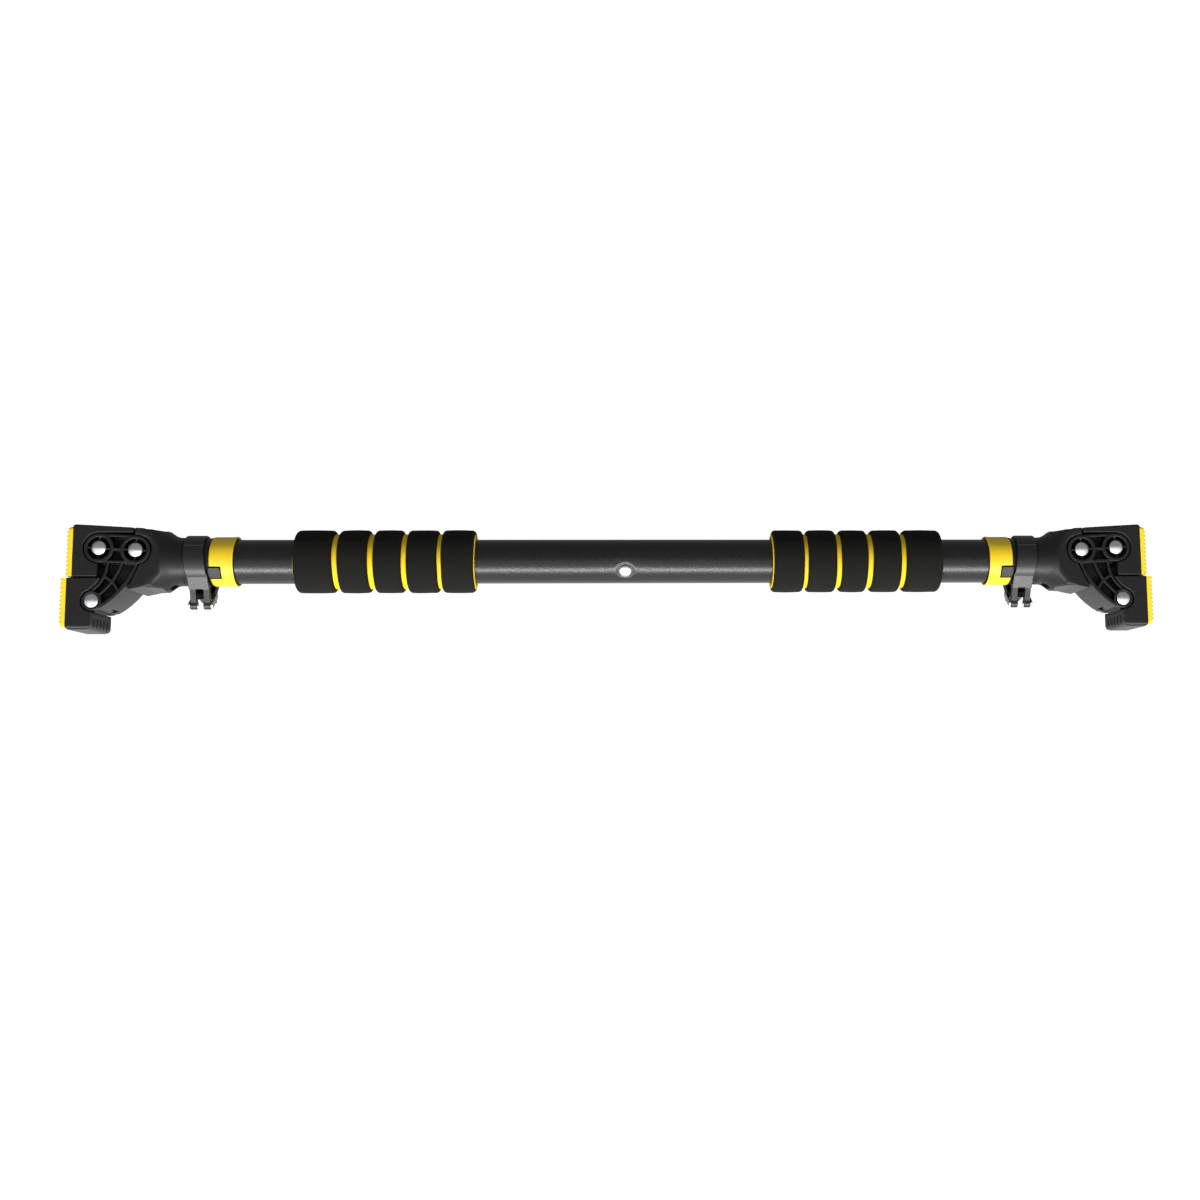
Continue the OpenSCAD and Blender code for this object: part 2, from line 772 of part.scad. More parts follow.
upper_housing();  // right_upper_housing
bush(pivot_a);  // right_upper_bush
upper_pad();  // right_upper_pad
lower_housing();  // right_lower_housing
bush(pivot_c);  // right_lower_bush
lower_pad();  // right_lower_pad
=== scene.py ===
"""Looks of a doorway pull-up bar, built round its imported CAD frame. All lengths are in metres."""

import math

import bmesh
import bpy
from mathutils import Matrix, Vector, noise


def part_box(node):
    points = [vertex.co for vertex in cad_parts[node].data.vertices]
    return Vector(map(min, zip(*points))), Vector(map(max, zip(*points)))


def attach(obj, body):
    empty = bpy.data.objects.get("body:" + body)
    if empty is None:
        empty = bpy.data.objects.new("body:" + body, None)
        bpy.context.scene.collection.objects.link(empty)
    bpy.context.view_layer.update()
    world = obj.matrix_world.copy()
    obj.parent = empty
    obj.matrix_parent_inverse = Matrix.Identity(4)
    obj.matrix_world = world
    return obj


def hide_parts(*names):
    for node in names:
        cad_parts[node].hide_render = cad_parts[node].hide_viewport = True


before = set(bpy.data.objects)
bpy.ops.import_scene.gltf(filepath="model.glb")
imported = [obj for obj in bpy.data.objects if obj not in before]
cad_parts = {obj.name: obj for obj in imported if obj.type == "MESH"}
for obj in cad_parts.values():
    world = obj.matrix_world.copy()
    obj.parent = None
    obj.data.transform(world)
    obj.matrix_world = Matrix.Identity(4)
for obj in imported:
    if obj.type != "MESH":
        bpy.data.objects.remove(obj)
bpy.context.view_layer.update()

MM = 0.001
TURN = 2 * math.pi
SIDES = {"left": -1, "right": 1}

# The camera stands in front of the bar and a little below it, and looks slightly up
CAMERA_AT = (0.0015, -1.0153, -0.1429)
CAMERA_YAW = 2.727
CAMERA_PITCH = 6.457
CAMERA_ROLL = -0.448
LENS_MM = 41.94
SENSOR_MM = 36.0
SHIFT = (-0.0704, -0.0007)

# White studio: what the camera sees behind the bar is brighter than what lights it
FLOOR_Z = -1.1
FLOOR_HALF = 40.0
FLOOR_GLOW = 0.78
SKY_SEEN = 1.05
SKY_LIT = 0.27
STRIP_AT = (0, -0.62, -0.84)
STRIP_AIM = (0, 0, 0)
STRIP_SIZE = (2.2, 0.17)
STRIP_POWER = 25.0

# Tube, with stations packed closely round the dimple
TUBE_STEPS = 192
TUBE_WALL = 1.5 * MM
TUBE_EDGE = 0.4 * MM
FINE_REACH = 26 * MM
FINE_STEP = 0.5 * MM
COARSE_STEP = 8 * MM

# Dimple and the shallow saddle round it, both pressed in by the rivet. KEY_ANGLE is the
# rivet's angle below the front.
KEY_ANGLE = math.radians(35)
DIMPLE_DEPTH = 0.8 * MM
DIMPLE_R = 6.2 * MM
DIMPLE_EDGE = 0.5 * MM
SADDLE_DEPTH = 0.5 * MM
SADDLE = (13 * MM, 9 * MM)

# Rivet: seat and top are distances from the tube's axis
RIVET_STEPS = 64
RIVET_DOME_STEPS = 12
RIVET_HEAD_R = 4.6 * MM
RIVET_SHANK_R = 2 * MM
RIVET_SEAT = 14.9 * MM
RIVET_TOP = 16.9 * MM
RIVET_INSIDE = 2.5 * MM

# Foam sleeve. SLEEVE_LIP rounds its ends: steps along it and across it, in mm.
SLEEVE_STEPS = 96
SLEEVE_ROWS = 60
SLEEVE_GAP = 0.02 * MM
SLEEVE_LIP = ((0.0, 0.5), (0.15, 0.12), (0.5, 0.0))
SLEEVE_WOBBLE = 0.12 * MM
SLEEVE_SINK = 0.1 * MM

# Foam rings: widths of the black rings and of the grooves between them, from the end
# nearer the bar's middle, as shares of the whole
RING_PARTS = (22.6, 21.1, 19.4, 20.9, 26.6)
GROOVE_PARTS = (3.2, 3.9, 4.2, 3.9, 0.0)
RING_STEPS = 120
RING_CORNER_STEPS = 8
RING_MIDDLE_STEPS = 8
RING_EDGE = 2.6 * MM
RING_SPREAD = 0.25 * MM
RING_SINK = 0.6 * MM
RING_UNDERCUT = 0.15 * MM
RING_CROWN = 0.18 * MM
RING_CUT_WOBBLE = 0.35 * MM
RING_SKIN_WOBBLE = 0.16 * MM

# Rubber pads
PAD_ROWS = 12
PAD_BASE = 3.4 * MM
PAD_ROUND = 4.2 * MM
PAD_CORNER = 2.5 * MM
PAD_SIDE_ROUND = 0.8 * MM
PAD_LEAST = 0.6 * MM
STUD_STEPS = 6
STUD_EDGE = (0.05, 0.75)

# Neck: where along X the extra smoothing of its flare fades in and out, and what it leaves
# alone, which is the mouth and the window under it at the end of the slit
FLARE_IN = (312.5 * MM, 317 * MM)
FLARE_OUT = (330 * MM, 335 * MM)
MOUTH_R = 17.2 * MM
WINDOW_HALF = 6.5 * MM
WINDOW_END = 322 * MM

# Node, body, material, slot, grid step in mm, rounds of softening, faces, rounds for the flare
MOULDINGS = (
    ("neck", "head", "black_plastic", "black_plastic", 0.42, 5, 36000, 110),
    ("collar", "head", "yellow_plastic", "yellow_plastic", 0.3, 4, 14000, 0),
    ("clamp_ring", "head", "clamp_plastic", "black_plastic", 0.3, 5, 20000, 0),
    ("latch_lever", "latch", "black_plastic", "black_plastic", 0.3, 4, 9000, 0),
    ("arm", "arm", "black_plastic", "black_plastic", 0.33, 3, 44000, 0),
    ("upper_housing", "upper", "black_plastic", "black_plastic", 0.4, 7, 16000, 0),
    ("lower_housing", "lower", "black_plastic", "black_plastic", 0.4, 7, 20000, 0),
)

# CAD nodes of one side that keep their shape and get a better finish
FINISHES = {
    "zinc_steel": ("bolts", "nuts", "latch_bail", "latch_pin"),
    "plain_steel": (
        "nut_bush", "nut_pins", "screw", "screw_clip",
        "neck_bush", "upper_bush", "lower_bush",
    ),
    "white_plastic": ("guide_bush",),
}

MATERIALS = {
    "tube_coating": dict(
        dark=(0.0025, 0.0025, 0.0027), light=(0.008, 0.008, 0.0084), rough=(0.25, 0.36),
        grain=1100.0, depth=0.085 * MM, specular=0.48, flecks=(900.0, 0.12, 0.07),
    ),
    # The black plastics darken their recesses with painted shade, over the reach given last
    "black_plastic": dict(
        dark=(0.0035, 0.0035, 0.0034), light=(0.008, 0.008, 0.0078), rough=(0.34, 0.48),
        grain=1500.0, depth=0.012 * MM, specular=0.34, recess_shade_reach=7 * MM,
    ),
    "clamp_plastic": dict(
        dark=(0.004, 0.004, 0.004), light=(0.009, 0.009, 0.009), rough=(0.32, 0.44),
        grain=1500.0, depth=0.006 * MM, specular=0.55, recess_shade_reach=6 * MM,
    ),
    # The foams' pores are painted darker: painted shade in the pores
    "black_foam": dict(
        dark=(0.0035, 0.0035, 0.0026), light=(0.0078, 0.0075, 0.0057), rough=(0.85, 0.98),
        grain=1300.0, depth=0.18 * MM, specular=0.18, pores=(1400.0, 0.5),
    ),
    "yellow_foam": dict(
        dark=(0.74, 0.49, 0.009), light=(0.84, 0.59, 0.017), rough=(0.8, 0.95),
        grain=1300.0, depth=0.12 * MM, specular=0.3, pores=(1400.0, 0.4),
    ),
    "yellow_rubber": dict(
        dark=(0.76, 0.52, 0.007), light=(0.84, 0.6, 0.013), rough=(0.5, 0.68),
        grain=900.0, depth=0.04 * MM,
    ),
    "yellow_plastic": dict(
        dark=(0.68, 0.46, 0.007), light=(0.75, 0.53, 0.012), rough=(0.36, 0.48),
        grain=1200.0, depth=0.015 * MM,
    ),
    "white_plastic": dict(
        dark=(0.62, 0.61, 0.56), light=(0.74, 0.73, 0.68), rough=(0.4, 0.52),
        grain=900.0, depth=0.03 * MM,
    ),
    "zinc_steel": dict(
        dark=(0.56, 0.57, 0.59), light=(0.8, 0.81, 0.83), rough=(0.26, 0.4),
        grain=1600.0, depth=0.02 * MM, metallic=1.0, mottle=180.0,
    ),
    "plain_steel": dict(
        dark=(0.36, 0.36, 0.37), light=(0.52, 0.52, 0.53), rough=(0.28, 0.44),
        grain=1400.0, depth=0.03 * MM, metallic=1.0, mottle=200.0,
    ),
}

# Colour mix node: its sockets by number, as their names repeat
MIX_FACTOR, MIX_A, MIX_B, MIX_RESULT = 0, 6, 7, 2

# How a grained surface uses its noise
NOISE_ROUGHNESS = 0.55
SLOW_DETAIL, FINE_DETAIL = 3.0, 2.0
SLOW_SHARE = 0.6
MOTTLE_RANGE = (0.5, 1.1)
ROUGH_RANGE = (0.3, 0.7)
PORE_RANGE = (0.0, 0.45)
# Painted shade in the foam's pores: how much darker their colour is
PAINTED_PORE_SHADE = 0.55
FLECK_COLOUR = (0.6, 0.6, 0.62)
FLECK_CORE = 0.6
# Painted shade in recesses and between parts: its occlusion range, least share, darkening and
# samples
RECESS_SHADE_RANGE = (0.35, 0.85)
RECESS_SHADE_LEAST = 0.2
PAINTED_RECESS_SHADE = 0.15
RECESS_SHADE_SAMPLES = 8


# ---- mesh helpers ----


def in_scene(name, data):
    """A new object for a mesh, light or camera, linked to the scene."""
    obj = bpy.data.objects.new(name, data)
    bpy.context.scene.collection.objects.link(obj)
    return obj


def smooth_faces(mesh, smooth=True):
    mesh.polygons.foreach_set("use_smooth", [smooth] * len(mesh.polygons))


def new_mesh(name, verts, faces, material, smooth=True):
    """A mesh object from points and faces, with one material."""
    mesh = bpy.data.meshes.new(name)
    mesh.from_pydata([tuple(v) for v in verts], [], faces)
    mesh.validate()
    bm = bmesh.new()
    bm.from_mesh(mesh)
    bmesh.ops.recalc_face_normals(bm, faces=bm.faces)
    bm.to_mesh(mesh)
    bm.free()
    smooth_faces(mesh, smooth)
    mesh.materials.append(material)
    return in_scene(name, mesh)


def band_faces(first, second, steps):
    """Faces between two closed rows of points, given by the index of their first points."""
    faces = []
    for j in range(steps):
        k = (j + 1) % steps
        faces.append((first + j, first + k, second + k, second + j))
    return faces


def ring_point(x, radius, angle):
    """A point round the bar's axis. Angle 0 is the front, and it grows downwards."""
    return Vector((x, -radius * math.cos(angle), -radius * math.sin(angle)))


def lathe(name, rows, steps, material):
    """A closed surface round the X axis. rows are functions of the angle: (x, radius)."""
    verts = []
    for row in rows:
        for j in range(steps):
            angle = TURN * j / steps
            x, radius = row(angle)
            verts.append(ring_point(x, radius, angle))
    faces = []
    for i in range(len(rows)):
        faces += band_faces(i * steps, (i + 1) % len(rows) * steps, steps)
    return new_mesh(name, verts, faces, material)


def plain_row(x, radius):
    """A row for lathe that is the same all round."""
    return lambda angle: (x, radius)


def shade_by_angle(obj, degrees):
    """Smooth faces, with the edges sharper than the angle kept sharp."""
    smooth_faces(obj.data)
    obj.data.set_sharp_from_angle(angle=math.radians(degrees))


def baked(obj):
    """The object's mesh with its modifiers applied; the object is removed."""
    depsgraph = bpy.context.evaluated_depsgraph_get()
    mesh = bpy.data.meshes.new_from_object(obj.evaluated_get(depsgraph))
    bpy.data.objects.remove(obj)
    return mesh


def step_up(value, low, high):
    """0 below low, 1 above high and a smooth rise between."""
    t = min(1.0, max(0.0, (value - low) / (high - low)))
    return t * t * (3 - 2 * t)


def smoothing(obj, name, rounds):
    """A smoothing modifier that moves each point half way in each round."""
    modifier = obj.modifiers.new(name, "SMOOTH")
    modifier.factor = 0.5
    modifier.iterations = rounds
    return modifier


def flare_weight(point):
    """How strongly a point of the neck takes part in the smoothing of its flare."""
    x = abs(point.x)
    window = point.z < 0 and abs(point.y) < WINDOW_HALF and x < WINDOW_END
    if window or math.hypot(point.y, point.z) < MOUTH_R:
        return 0.0
    return step_up(x, *FLARE_IN) * (1 - step_up(x, *FLARE_OUT))


def moulding(source, voxel, rounds, faces, flare_rounds):
    """The CAD shape rebuilt on a fine grid, with its edges softened as a moulding's are."""
    mesh = source.copy()
    mesh.materials.clear()
    obj = in_scene("shape", mesh)
    grid = obj.modifiers.new("grid", "REMESH")
    grid.mode = "VOXEL"
    grid.voxel_size = voxel
    obj = in_scene("shape", baked(obj))
    if flare_rounds:
        group = obj.vertex_groups.new(name="flare")
        for vertex in obj.data.vertices:
            weight = flare_weight(vertex.co)
            if weight > 0:
                group.add([vertex.index], weight, "REPLACE")
        smoothing(obj, "blend", flare_rounds).vertex_group = "flare"
    smoothing(obj, "soften", rounds)
    thin = obj.modifiers.new("thin", "DECIMATE")
    thin.ratio = min(1.0, faces / (2 * len(obj.data.polygons)))
    mesh = baked(obj)
    smooth_faces(mesh)
    return mesh


# ---- materials ----


def darker(colour, share):
    return (*[c * share for c in colour], 1)


def grained(
    name, dark, light, rough, grain, depth,
    metallic=0.0, mottle=45.0, specular=0.5, pores=None, flecks=None, recess_shade_reach=None,
):
    """A surface with slow mottling between two colours and fine grain.

    rough is the range of its roughness, grain and mottle are noise scales, and depth is the
    bump's. pores is their scale and depth, and the pores are painted darker, a painted shade.
    flecks is their scale, radius and strength. recess_shade_reach is the reach of the painted
    shade that darkens recesses in colour and in specular level.
    """
    mat = bpy.data.materials.new(name)
    mat.use_nodes = True
    nodes, links = mat.node_tree.nodes, mat.node_tree.links
    bsdf = nodes["Principled BSDF"]

    def feed(node, inputs):
        for key, value in inputs.items():
            if isinstance(value, bpy.types.NodeSocket):
                links.new(value, node.inputs[key])
            else:
                node.inputs[key].default_value = value

    def add(kind, inputs, **settings):
        node = nodes.new(kind)
        for key, value in settings.items():
            setattr(node, key, value)
        feed(node, inputs)
        return node

    def noise_of(scale, detail):
        inputs = {
            "Vector": place, "Scale": scale, "Detail": detail, "Roughness": NOISE_ROUGHNESS,
        }
        return add("ShaderNodeTexNoise", inputs).outputs["Fac"]

    def cells(scale):
        node = add("ShaderNodeTexVoronoi", {"Vector": place, "Scale": scale})
        return node.outputs["Distance"]

    def ranged(value, low, high, least=0.0, most=1.0):
        inputs = {
            "Value": value, "From Min": low, "From Max": high, "To Min": least, "To Max": most,
        }
        return add("ShaderNodeMapRange", inputs).outputs["Result"]

    def times(value, factor):
        return add("ShaderNodeMath", {0: value, 1: factor}, operation="MULTIPLY").outputs[0]

    def times_plus(value, factor, more):
        node = add("ShaderNodeMath", {0: value, 1: factor, 2: more}, operation="MULTIPLY_ADD")
        return node.outputs[0]

    def mixed(share, first, second):
        inputs = {MIX_FACTOR: share, MIX_A: first, MIX_B: second}
        return add("ShaderNodeMix", inputs, data_type="RGBA").outputs[MIX_RESULT]

    feed(bsdf, {"Metallic": metallic, "Specular IOR Level": specular})
    place = add("ShaderNodeTexCoord", {}).outputs["Object"]
    slow, fine = noise_of(mottle, SLOW_DETAIL), noise_of(grain, FINE_DETAIL)
    share = ranged(times_plus(slow, SLOW_SHARE, fine), *MOTTLE_RANGE)
    colour = mixed(share, (*dark, 1), (*light, 1))
    height = fine

    if pores:
        scale, pore_depth = pores
        pit = ranged(cells(scale), *PORE_RANGE)
        height = times_plus(pit, pore_depth, fine)
        # Painted shade: the pores are darker in colour, standing in for the shade inside them
        colour = mixed(pit, darker(dark, PAINTED_PORE_SHADE), colour)

    if flecks:
        scale, radius, strength = flecks
        dot = ranged(cells(scale), radius, radius * FLECK_CORE)
        colour = mixed(times(dot, strength), colour, (*FLECK_COLOUR, 1))

    # Painted shade: ambient occlusion darkens the colour and lowers the specular level in recesses
    # and between parts
    if recess_shade_reach:
        recess_occlusion = add("ShaderNodeAmbientOcclusion", {"Distance": recess_shade_reach}, samples=RECESS_SHADE_SAMPLES)
        clear = ranged(recess_occlusion.outputs["AO"], *RECESS_SHADE_RANGE, least=RECESS_SHADE_LEAST)
        colour = mixed(clear, darker(dark, PAINTED_RECESS_SHADE), colour)
        feed(bsdf, {"Specular IOR Level": times(clear, specular)})

    bump = add("ShaderNodeBump", {"Strength": 1.0, "Distance": depth, "Height": height})
    dull = ranged(fine, *ROUGH_RANGE, *rough)
    feed(bsdf, {"Base Color": colour, "Roughness": dull, "Normal": bump.outputs["Normal"]})
    return mat


M = {name: grained(name, **look) for name, look in MATERIALS.items()}


# ---- tube and rivet ----


def dimple(x, angle, rivet_x, radius):
    """How far the tube's surface is pressed in round the rivet."""
    along = x - rivet_x
    round_by = ((angle - KEY_ANGLE + math.pi) % TURN - math.pi) * radius
    far = math.hypot(along, round_by)
    pit = DIMPLE_DEPTH / (1 + math.exp((far - DIMPLE_R) / DIMPLE_EDGE))
    saddle = SADDLE_DEPTH * math.exp(-((along / SADDLE[0]) ** 2) - (round_by / SADDLE[1]) ** 2)
    return pit + saddle


def tube():
    low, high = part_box("centre_tube")
    radius = high.z
    bore = radius - TUBE_WALL
    rivet_low, rivet_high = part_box("tube_rivet")
    rivet_x = (rivet_low.x + rivet_high.x) / 2
    last = high.x - TUBE_EDGE
    stations = [low.x + TUBE_EDGE]
    while stations[-1] < last:
        x = stations[-1]
        to_dimple = rivet_x - FINE_REACH - x
        if to_dimple > FINE_STEP:
            step = min(COARSE_STEP, to_dimple)
        elif x < rivet_x + FINE_REACH:
            step = FINE_STEP
        else:
            step = COARSE_STEP
        stations.append(min(x + step, last))

    def pressed_row(x):
        return lambda angle: (x, radius - dimple(x, angle, rivet_x, radius))

    rows = [plain_row(low.x, bore), plain_row(low.x, radius - TUBE_EDGE)]
    rows += [pressed_row(x) for x in stations]
    rows += [plain_row(high.x, radius - TUBE_EDGE), plain_row(high.x, bore)]
    body = lathe("tube", rows, TUBE_STEPS, M["tube_coating"])
    shade_by_angle(body, 40)
    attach(body, "bar")
    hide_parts("centre_tube")
    rivet(rivet_x, bore)


def rivet(x, bore):
    """Domed rivet: its head, and its shank that goes through the tube's wall."""
    inner_end = bore - RIVET_INSIDE
    profile = []
    for i in range(1, RIVET_DOME_STEPS + 1):
        t = math.pi / 2 * i / RIVET_DOME_STEPS
        rise = (RIVET_TOP - RIVET_SEAT) * math.cos(t)
        profile.append((RIVET_HEAD_R * math.sin(t), RIVET_SEAT + rise))
    profile += [(RIVET_SHANK_R, RIVET_SEAT), (RIVET_SHANK_R, inner_end)]
    out = Vector((0, -math.cos(KEY_ANGLE), -math.sin(KEY_ANGLE)))
    side = Vector((0, math.sin(KEY_ANGLE), -math.cos(KEY_ANGLE)))
    verts = []
    for r, h in profile:
        for j in range(RIVET_STEPS):
            a = TURN * j / RIVET_STEPS
            verts.append(Vector((x + r * math.cos(a), 0, 0)) + side * r * math.sin(a) + out * h)
    faces = []
    last_row = (len(profile) - 1) * RIVET_STEPS
    for start in range(0, last_row, RIVET_STEPS):
        faces += band_faces(start, start + RIVET_STEPS, RIVET_STEPS)
    top, bottom = len(verts), len(verts) + 1
    verts.append(Vector((x, 0, 0)) + out * RIVET_TOP)
    verts.append(Vector((x, 0, 0)) + out * inner_end)
    for j in range(RIVET_STEPS):
        k = (j + 1) % RIVET_STEPS
        faces.append((top, k, j))
        faces.append((bottom, last_row + j, last_row + k))
    obj = new_mesh("rivet", verts, faces, M["zinc_steel"])
    shade_by_angle(obj, 50)
    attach(obj, "bar")
    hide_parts("tube_rivet")


# ---- foam grips ----


def wobble(seed, x, angle, size):
    """Slow unevenness of a cut foam edge, the same each run."""
    point = Vector((math.cos(angle), math.sin(angle), 0)) * 1.1
    return size * noise.noise(point + Vector((seed * 3.7, x * 40, seed * 1.3)))


def grip(side):
    """Yellow foam sleeve and the five black rings on it."""
    core_low, core_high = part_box(f"{side}_grip_core")
    ring_low, ring_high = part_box(f"{side}_grip_rings")
    inner, outer = core_high.z, ring_high.z
    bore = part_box("centre_tube")[1].z + SLEEVE_GAP

    def uneven_row(t):
        x = core_low.x + (core_high.x - core_low.x) * t
        return lambda angle: (x, inner + wobble(2, t * 5, angle, SLEEVE_WOBBLE) - SLEEVE_SINK)

    rows = [plain_row(core_low.x, bore)]
    rows += [plain_row(core_low.x + a * MM, inner - b * MM) for a, b in SLEEVE_LIP]
    rows += [uneven_row(i / SLEEVE_ROWS) for i in range(1, SLEEVE_ROWS)]
    rows += [plain_row(core_high.x - a * MM, inner - b * MM) for a, b in reversed(SLEEVE_LIP)]
    rows += [plain_row(core_high.x, bore)]
    core = lathe(f"{side}_grip_sleeve", rows, SLEEVE_STEPS, M["yellow_foam"])
    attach(core, "bar")
    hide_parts(f"{side}_grip_core")

    way = SIDES[side]
    share = (ring_high.x - ring_low.x) / (sum(RING_PARTS) + sum(GROOVE_PARTS))
    at = ring_low.x if way > 0 else ring_high.x
    joined = bmesh.new()
    for i, (ring, groove) in enumerate(zip(RING_PARTS, GROOVE_PARTS)):
        far = at + way * ring * share
        if side == "right" and i == len(RING_PARTS) - 1:
            # This ring reaches the sleeve's outer end
            far = core_high.x
        x0, x1 = min(at, far) - RING_SPREAD, max(at, far) + RING_SPREAD
        part = foam_ring(x0, min(x1, core_high.x), inner - RING_SINK, outer, way * (i + 1))
        joined.from_mesh(part.data)
        bpy.data.objects.remove(part)
        at = far + way * groove * share
    mesh = bpy.data.meshes.new(f"{side}_grip_foam")
    joined.to_mesh(mesh)
    joined.free()
    mesh.materials.append(M["black_foam"])
    smooth_faces(mesh)
    rings = in_scene(f"{side}_grip_foam", mesh)
    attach(rings, "bar")
    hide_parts(f"{side}_grip_rings")


def foam_ring(x0, x1, inner, outer, seed):
    """One black foam ring: crowned, with soft corners and slightly uneven cut edges."""

    def row(x, radius, edge):
        def at(angle):
            shift = wobble(seed + edge, x, angle, RING_CUT_WOBBLE) if edge else 0
            lift = wobble(seed * 2, x * 2, angle, RING_SKIN_WOBBLE)
            return x + shift, radius + lift * (radius - inner) / (outer - inner)

        return at

    def corner(x, way, edge):
        """Rows of a rounded corner, from the end face to the skin."""
        rows = []
        for i in range(RING_CORNER_STEPS + 1):
            t = math.pi / 2 * i / RING_CORNER_STEPS
            along = way * RING_EDGE * (1 - math.cos(t))
            rows.append(row(x + along, outer - RING_EDGE * (1 - math.sin(t)), edge))
        return rows

    rows = [row(x0 + RING_UNDERCUT, inner, 1)]
    rows += corner(x0, 1, 1)
    for i in range(1, RING_MIDDLE_STEPS):
        t = i / RING_MIDDLE_STEPS
        crown = RING_CROWN * math.sin(math.pi * t)
        rows.append(row(x0 + RING_EDGE + (x1 - x0 - 2 * RING_EDGE) * t, outer + crown, 0))
    rows += reversed(corner(x1, -1, 2))
    rows.append(row(x1 - RING_UNDERCUT, inner, 2))
    return lathe("foam_ring", rows, RING_STEPS, M["black_foam"])


# ---- pads ----


def stud(i):
    """Height of a stud along one direction, from 0 in the groove to 1 on its top."""
    wave = 1 - abs(((i / STUD_STEPS) % 1) - 0.5) * 2
    return step_up(wave, *STUD_EDGE)


def rounding(end, radius):
    """How far a rounded edge falls back at a distance from its end."""
    away = radius - min(end, radius)
    return radius - math.sqrt(radius * radius - away * away)


def pad(side, level):
    """Rubber pad with rows of small square studs, rounded off at its outer end."""
    node = f"{side}_{level}_pad"
    low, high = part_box(node)
    sign = SIDES[side]
    back = low.x if sign > 0 else high.x
    full = high.x - low.x
    tall, half = high.z - low.z, (high.y - low.y) / 2
    columns = round(2 * half / (tall / PAD_ROWS))
    rows, cols = PAD_ROWS * STUD_STEPS, columns * STUD_STEPS

    verts, faces = [], []
    for i in range(rows + 1):
        z = low.z + tall * i / rows
        end = z - low.z if level == "lower" else high.z - z
        reach = full - rounding(end, PAD_ROUND)
        half_here = half - rounding(end, PAD_CORNER)
        for j in range(cols + 1):
            y = (low.y + high.y) / 2 + half_here * (2 * j / cols - 1)
            depth = (full - PAD_BASE) * (1 - stud(i) * stud(j))
            thick = reach - depth - rounding(half - abs(y), PAD_SIDE_ROUND)
            verts.append((back + sign * max(thick, PAD_LEAST), y, z))
    width = cols + 1
    for i in range(rows):
        for j in range(cols):
            a = i * width + j
            faces.append((a, a + 1, a + width + 1, a + width))
    rim = list(range(width))
    rim += [i * width + cols for i in range(1, rows + 1)]
    rim += [rows * width + j for j in range(cols - 1, -1, -1)]
    rim += [i * width for i in range(rows - 1, 0, -1)]
    start = len(verts)
    for index in rim:
        x, y, z = verts[index]
        verts.append((back, y, z))
    n = len(rim)
    for k in range(n):
        faces.append((rim[k], rim[(k + 1) % n], start + (k + 1) % n, start + k))
    faces.append(tuple(start + k for k in range(n)))
    obj = new_mesh(f"{side}_{level}_pad_rubber", verts, faces, M["yellow_rubber"])
    shade_by_angle(obj, 40)
    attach(obj, f"{side}_{level}")
    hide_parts(node)


# ---- moulded and metal pieces of a head ----


def moulded(side, node, body, material, mesh):
    """A softened moulding in place of a CAD node; mesh is the right-hand one."""
    mesh = mesh.copy()
    if side == "left":
        mesh.transform(Matrix.Scale(-1, 4, (1, 0, 0)))
        mesh.flip_normals()
    mesh.materials.append(M[material])
    obj = in_scene(f"{side}_{node}_moulded", mesh)
    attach(obj, f"{side}_{body}")
    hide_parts(f"{side}_{node}")


def heads():
    for node, body, material, slot, step, rounds, faces, flare in MOULDINGS:
        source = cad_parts[f"right_{node}"].data
        mesh = moulding(source, step * MM, rounds, faces, flare)
        for side in SIDES:
            moulded(side, node, body, material, mesh)
    for side in SIDES:
        pad(side, "upper")
        pad(side, "lower")


def repaint(name, material):
    """A better finish for a CAD node whose shape stays."""
    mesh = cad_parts[name].data
    for index in range(len(mesh.materials)):
        mesh.materials[index] = M[material]


def metal_parts():
    repaint("tube_doubler", "plain_steel")
    for side in SIDES:
        for material, names in FINISHES.items():
            for name in names:
                repaint(f"{side}_{name}", material)


# ---- stage ----


def floor():
    material = bpy.data.materials.new("pale_floor")
    material.use_nodes = True
    bsdf = material.node_tree.nodes["Principled BSDF"]
    bsdf.inputs["Base Color"].default_value = (0.9, 0.9, 0.9, 1)
    bsdf.inputs["Roughness"].default_value = 0.9
    bsdf.inputs["Emission Color"].default_value = (1, 1, 1, 1)
    bsdf.inputs["Emission Strength"].default_value = FLOOR_GLOW
    corners = [
        (x * FLOOR_HALF, y * FLOOR_HALF, FLOOR_Z)
        for x, y in ((-1, -1), (1, -1), (1, 1), (-1, 1))
    ]
    plane = new_mesh("floor", corners, [(0, 1, 2, 3)], material, smooth=False)


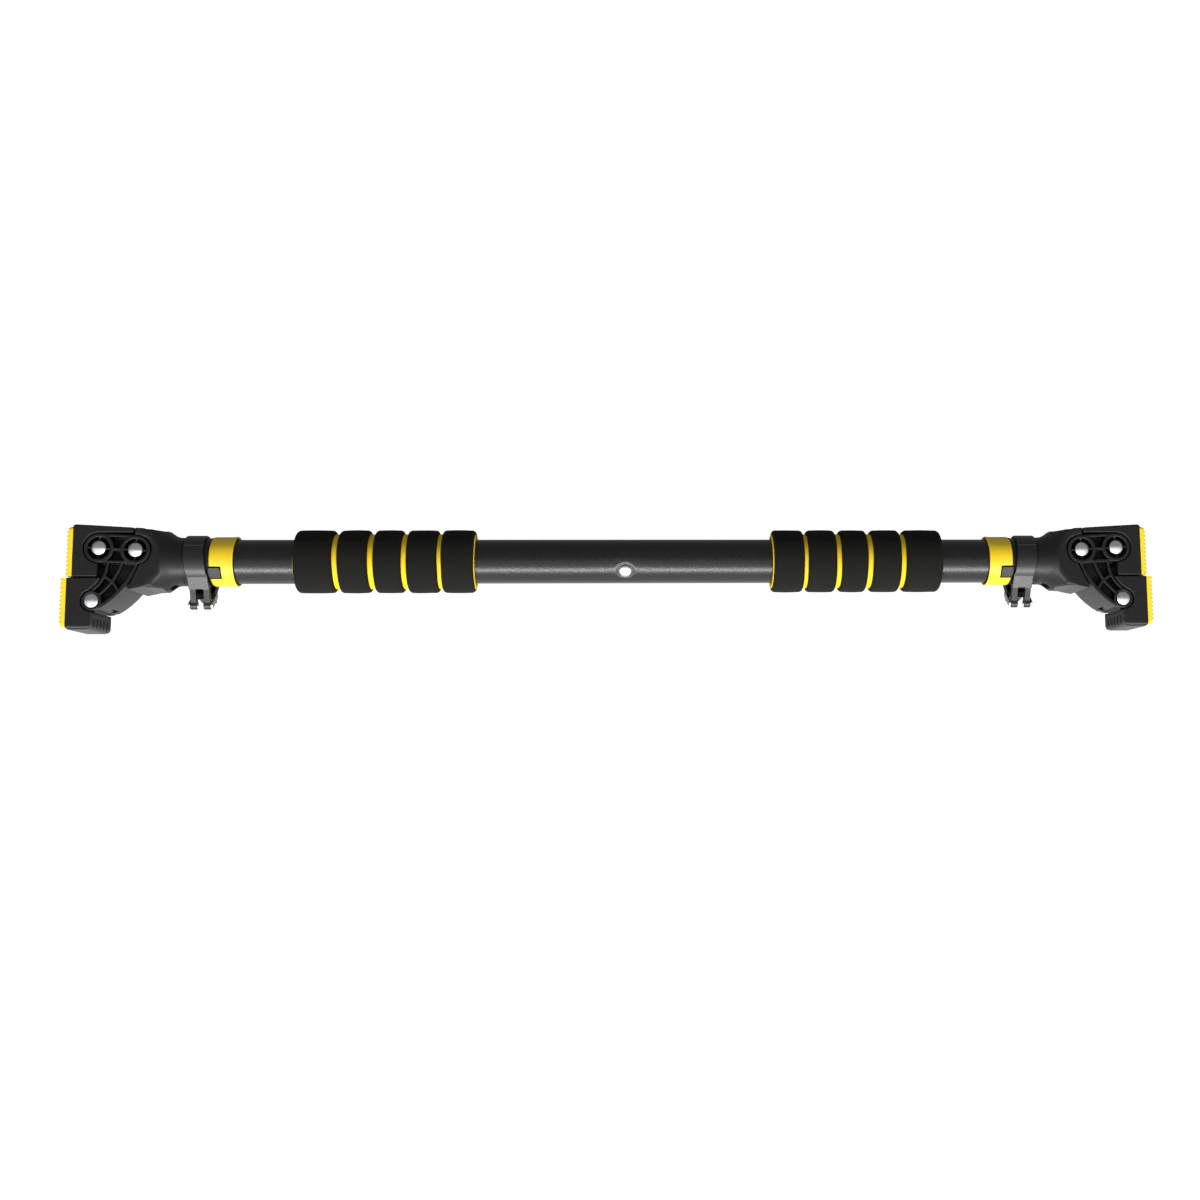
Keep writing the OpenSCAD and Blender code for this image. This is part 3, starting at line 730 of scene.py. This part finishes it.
def strip_light():
    """A long soft light below the front of the bar, aimed at its middle."""
    data = bpy.data.lights.new("low_strip", "AREA")
    data.shape = "RECTANGLE"
    data.size, data.size_y = STRIP_SIZE
    data.energy = STRIP_POWER
    obj = in_scene("low_strip", data)
    obj.location = STRIP_AT
    obj.rotation_mode = "QUATERNION"
    obj.rotation_quaternion = (Vector(STRIP_AIM) - Vector(STRIP_AT)).to_track_quat("-Z", "Y")
    obj.visible_camera = False


def lights():
    world = bpy.data.worlds.new("studio")
    bpy.context.scene.world = world
    world.use_nodes = True
    nodes, links = world.node_tree.nodes, world.node_tree.links
    nodes.clear()
    seen, lit = nodes.new("ShaderNodeBackground"), nodes.new("ShaderNodeBackground")
    seen.inputs["Color"].default_value = (1, 1, 1, 1)
    seen.inputs["Strength"].default_value = SKY_SEEN
    lit.inputs["Color"].default_value = (0.97, 0.98, 1, 1)
    lit.inputs["Strength"].default_value = SKY_LIT
    path, mix = nodes.new("ShaderNodeLightPath"), nodes.new("ShaderNodeMixShader")
    links.new(path.outputs["Is Camera Ray"], mix.inputs[0])
    links.new(lit.outputs[0], mix.inputs[1])
    links.new(seen.outputs[0], mix.inputs[2])
    links.new(mix.outputs[0], nodes.new("ShaderNodeOutputWorld").inputs["Surface"])
    strip_light()
    bpy.context.scene.view_settings.view_transform = "Standard"


def camera():
    yaw, pitch, roll = (math.radians(a) for a in (CAMERA_YAW, CAMERA_PITCH, CAMERA_ROLL))
    ahead = Vector(
        (math.sin(yaw) * math.cos(pitch), math.cos(yaw) * math.cos(pitch), math.sin(pitch))
    )
    right = Vector((math.cos(yaw), -math.sin(yaw), 0))
    up = right.cross(ahead)
    right, up = (
        right * math.cos(roll) + up * math.sin(roll),
        up * math.cos(roll) - right * math.sin(roll),
    )
    data = bpy.data.cameras.new("camera")
    data.sensor_width = SENSOR_MM
    data.lens = LENS_MM
    data.shift_x, data.shift_y = SHIFT
    data.clip_start, data.clip_end = 0.05, 200
    obj = in_scene("camera", data)
    turn = Matrix((right, up, -ahead)).transposed()
    obj.matrix_world = Matrix.Translation(CAMERA_AT) @ turn.to_4x4()
    bpy.context.scene.camera = obj


camera()
floor()
lights()
tube()
for name in SIDES:
    grip(name)
heads()
metal_parts()
